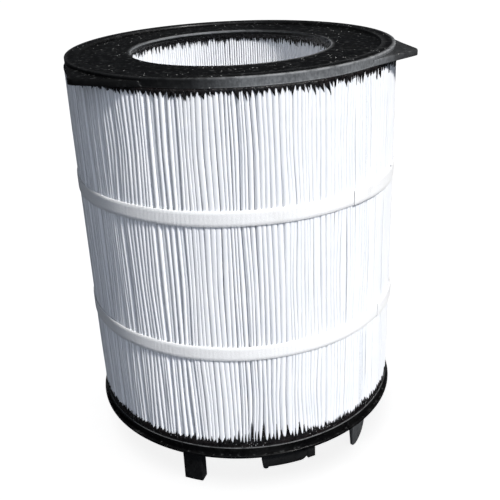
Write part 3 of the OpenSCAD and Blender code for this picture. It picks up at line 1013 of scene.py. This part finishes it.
def group_mesh(name, blocks, dull_and_lit):
    """Joins (block, angle) pairs into one mesh, with a copy half a turn away."""
    joined = bmesh.new()
    for bm, angle in blocks:
        for turn in (0, math.pi):
            mesh = bpy.data.meshes.new("part")
            copy = bm.copy()
            copy.transform(Matrix.Rotation(angle + turn, 4, "Z"))
            copy.to_mesh(mesh)
            joined.from_mesh(mesh)
            copy.free()
            bpy.data.meshes.remove(mesh)
    joined.transform(Matrix.Scale(MM, 4))
    mesh = bpy.data.meshes.new(name)
    joined.to_mesh(mesh)
    joined.free()
    obj = finish_mesh(name, mesh, 35)
    paint(obj, "edge", [0.02] * len(obj.data.vertices))
    # A grey share on every vertex, partly a matte finish and partly painted light.
    paint(obj, "dull", [dull_and_lit] * len(obj.data.vertices))
    return obj


def post_feet():
    """The two thick square feet that carry the cartridge."""
    w, deep = 26.0, 14.0
    outline = [(-w / 2, 0), (-w / 2, foot_z), (w / 2, foot_z), (w / 2, 0)]
    foot = block(outline, STEP_R - deep, STEP_R, 0.9)
    return group_mesh("post_feet_moulding", [(foot, GROUP_ANGLE - FOOT_SPREAD)], 0.004)


def fin_feet():
    """The two thin feet, each straight on one side and swept to a round toe on the other."""
    w, deep, toe_w, toe_r = 31.0, 8.0, 7.0, 2.5
    taper = w - toe_w
    straight = FOOT_H - 6
    sweep_r = (taper ** 2 + straight ** 2) / (2 * taper)
    sweep_a = math.degrees(math.asin(straight / sweep_r))
    outline = (
        [(0, FOOT_H)]
        + arc(toe_r, toe_r, toe_r, 180, 270, 4)
        + arc(w - sweep_r, straight, sweep_r, -sweep_a, 0, 14)
        + [(w, FOOT_H)]
    )
    outline = [(y - w / 2, z - FOOT_H) for y, z in outline]
    fin = block(outline, FIN_R - deep, FIN_R, 0.8, thinning=4.0)
    # Painted light: the fin feet, one of which faces the key light, are painted greyer than the post feet and
    # locking walls.
    return group_mesh("fin_feet_moulding", [(fin, GROUP_ANGLE + FOOT_SPREAD)], 0.16)


def locking_walls():
    """The two curved walls, each between a round-ended rib and a square rib."""
    lock_h, round_h, square_h, half = 18.0, 20.0, 17.0, math.radians(7.6)
    width = 2 * LOCK_R * math.sin(half)
    corner = 10.0
    outline = [(0, lock_h), (0, 0)] + arc(width - corner, corner, corner, -90, 0, 6) + [(width, lock_h)]
    wall = block([(y - width / 2, z - lock_h) for y, z in outline], LOCK_R - 6, LOCK_R, 0.6)
    round_w, square_w = 8.0, 11.0
    tip = round_w / 2
    outline = [(0, round_h)] + arc(tip, tip, tip - 0.01, 180, 360, 10) + [(round_w, round_h)]
    round_rib = block([(y - tip, z - round_h) for y, z in outline], LOCK_R - 14, LOCK_R + 0.8, 0.6)
    outline = [(-square_w / 2, 0), (-square_w / 2, -square_h), (square_w / 2, -square_h), (square_w / 2, 0)]
    square_rib = block(outline, LOCK_R - 18, LOCK_R + 0.8, 0.5)
    return group_mesh("locking_walls_moulding", [
        (wall, GROUP_ANGLE),
        (round_rib, GROUP_ANGLE - half - math.radians(1)),
        (square_rib, GROUP_ANGLE + half + math.radians(1.5)),
    ], 0.008)


def seat_seal():
    """Rubber ring in the groove of the bottom ring, with a rounded lip below."""
    columns = 480
    a = np.arange(columns) * 2 * math.pi / columns
    mid = (SEAL_IN_R + seal_out_r) / 2
    half_w = SEAL_W / 2 - 0.1
    lip = seal_low_z - 0.1
    outline = [(SEAL_IN_R + 0.05, GROOVE - 0.1), (SEAL_IN_R + 0.05, 0.2)]
    outline += [(mid + half_w * math.cos(t), 0.1 + lip * math.sin(-t)) for t in np.linspace(-math.pi, 0, 11)]
    outline += [(seal_out_r - 0.05, 0.2), (seal_out_r - 0.05, GROOVE - 0.1)]
    points = np.array([[(r * math.cos(t), r * math.sin(t), z) for r, z in outline] for t in a])
    return ring_mesh("seat_seal_ring", points, 40)


# ---- Build the pieces ----
plastic = moulded_plastic()
black_potting = cast_potting()
media = nonwoven_media()
seam_material = seam_fabric()
strap_material = strap_fabric()
glue = hot_glue()
rubber = seal_rubber()
pieces = []


def place(obj, node, material, slot):
    """Gives a piece its material, puts it under the root body, and hides the part of the CAD it stands for.
    """
    pieces.append(obj)
    obj.data.materials.append(material)
    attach(obj, "root")
    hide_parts(node)
    return obj


top_moulding = place(top_ring(), "top_end_ring", plastic, "end_ring")
top_cast = place(top_bed(), "top_potting", black_potting, "potting")
bottom_cast = place(bottom_bed(), "bottom_potting", black_potting, "potting")
place(bottom_ring(), "bottom_end_ring", plastic, "end_ring")
place(post_feet(), "post_feet", plastic, "end_ring")
place(fin_feet(), "fin_feet", plastic, "end_ring")
place(locking_walls(), "locking_walls", plastic, "end_ring")
place(seat_seal(), "seat_seal", rubber, "seal")

z_steps = np.linspace(media_lo_z + 0.5, media_hi_z + 0.5, 26)
first_pleat = round(SEAM_GAP + 0.5)
half_count = PLEATS // 2
for name, first in (("media_sheet_front", first_pleat), ("media_sheet_back", first_pleat + half_count)):
    sheet = place(media_sheet(name, first, first + half_count - 1, z_steps), "pleated_media", media, "media")
    line = sheet_line(first, first + half_count - 1, MIDDLE_Z)
place(seam_fin(), "media_seam", seam_material, "media")

for name, seed in (("upper_band", 61), ("lower_band", 71)):
    lo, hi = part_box(name)
    z_mid = (lo.z + hi.z) / 2 / MM
    lap_end = math.radians(-31 if name == "upper_band" else -15)
    band = place(strap(name + "_strap", z_mid, lap_end, seed), name, strap_material, "band")
    place(strap_glue(name + "_glue_pad", z_mid, lap_end, seed), name + "_glue", glue, "glue")


# ---- Stage, light and camera ----
VIEW_AZIMUTH = math.radians(19)
ex = Vector((math.cos(VIEW_AZIMUTH), math.sin(VIEW_AZIMUTH), 0))
ey = Vector((-math.sin(VIEW_AZIMUTH), math.cos(VIEW_AZIMUTH), 0))
ez = Vector((0, 0, 1))


def add_camera():
    """The camera stands at the photo's distance and height, and looks down a little."""
    yaw, pitch, roll = 0.0137, -0.4238, -0.0454
    distance, height = 1.0022, 0.1636
    forward = (ex * math.sin(yaw) + ey * math.cos(yaw)) * math.cos(pitch) + ez * math.sin(pitch)
    right = ex * math.cos(yaw) - ey * math.sin(yaw)
    up = right.cross(forward)
    turned_right = right * math.cos(roll) + up * math.sin(roll)
    turned_up = up * math.cos(roll) - right * math.sin(roll)
    data = bpy.data.cameras.new("camera")
    data.lens = 55.62
    data.sensor_width = 36
    camera = add_object("camera", data)
    basis = Matrix((turned_right, turned_up, -forward)).transposed().to_4x4()
    basis.translation = ey * -distance + ez * (top_z * MM + height)
    camera.matrix_world = basis
    bpy.context.scene.camera = camera


def add_floor():
    mesh = bpy.data.meshes.new("floor")
    size = 14
    z = cad_lo.z
    corners = [(-size, -size, z), (size, -size, z), (size, size, z), (-size, size, z)]
    mesh.from_pydata(corners, [], [(0, 1, 2, 3)])
    floor = add_object("floor", mesh)
    floor.data.materials.append(pale_floor())
    floor.visible_diffuse = False
    floor.visible_glossy = False
    return floor


def add_sun(name, azimuth, elevation, softness, power, colour, lit):
    """A sun that lights these objects alone; azimuth 0 is the camera's side and 90 its right."""
    data = bpy.data.lights.new(name, "SUN")
    data.energy = power
    data.angle = math.radians(softness)
    data.color = colour
    light = add_object(name, data)
    a, e = math.radians(azimuth), math.radians(elevation)
    out = (ex * math.sin(a) - ey * math.cos(a)) * math.cos(e) + ez * math.sin(e)
    light.location = (cad_lo + cad_hi) / 2 + out * 3
    light.rotation_mode = "QUATERNION"
    light.rotation_quaternion = out.to_track_quat("Z", "Y")
    collection = bpy.data.collections.new(name + "_on")
    for obj in lit:
        collection.objects.link(obj)
    light.light_linking.receiver_collection = collection


def add_world():
    """Dim bluish surroundings, seen as plain white where nothing else is."""
    world = bpy.data.worlds.new("studio")
    bpy.context.scene.world = world
    world.use_nodes = True
    tree = world.node_tree
    background = tree.nodes["Background"]
    path = tree.nodes.new("ShaderNodeLightPath")
    sky = tree.nodes.new("ShaderNodeMix")
    sky.data_type = "RGBA"
    sky.inputs[6].default_value = (0.030, 0.032, 0.035, 1)
    sky.inputs[7].default_value = (1, 1, 1, 1)
    tree.links.new(path.outputs["Is Camera Ray"], sky.inputs[0])
    tree.links.new(sky.outputs[2], background.inputs["Color"])


add_camera()
floor = add_floor()
all_but_top = [piece for piece in pieces if piece is not top_moulding]
add_sun("key", 43, 47, 8, 4.0, (1.0, 0.985, 0.96), pieces)
add_sun("front_fill", 12, 22, 100, 1.24, (0.80, 0.87, 1.0), pieces)
add_sun("back", 180, 38, 20, 2.2, (0.95, 0.97, 1.0), all_but_top)
add_sun("floor_soft", 0, 88, 60, 0.6, (1, 1, 1), [floor])
add_world()
bpy.context.scene.view_settings.view_transform = "Standard"
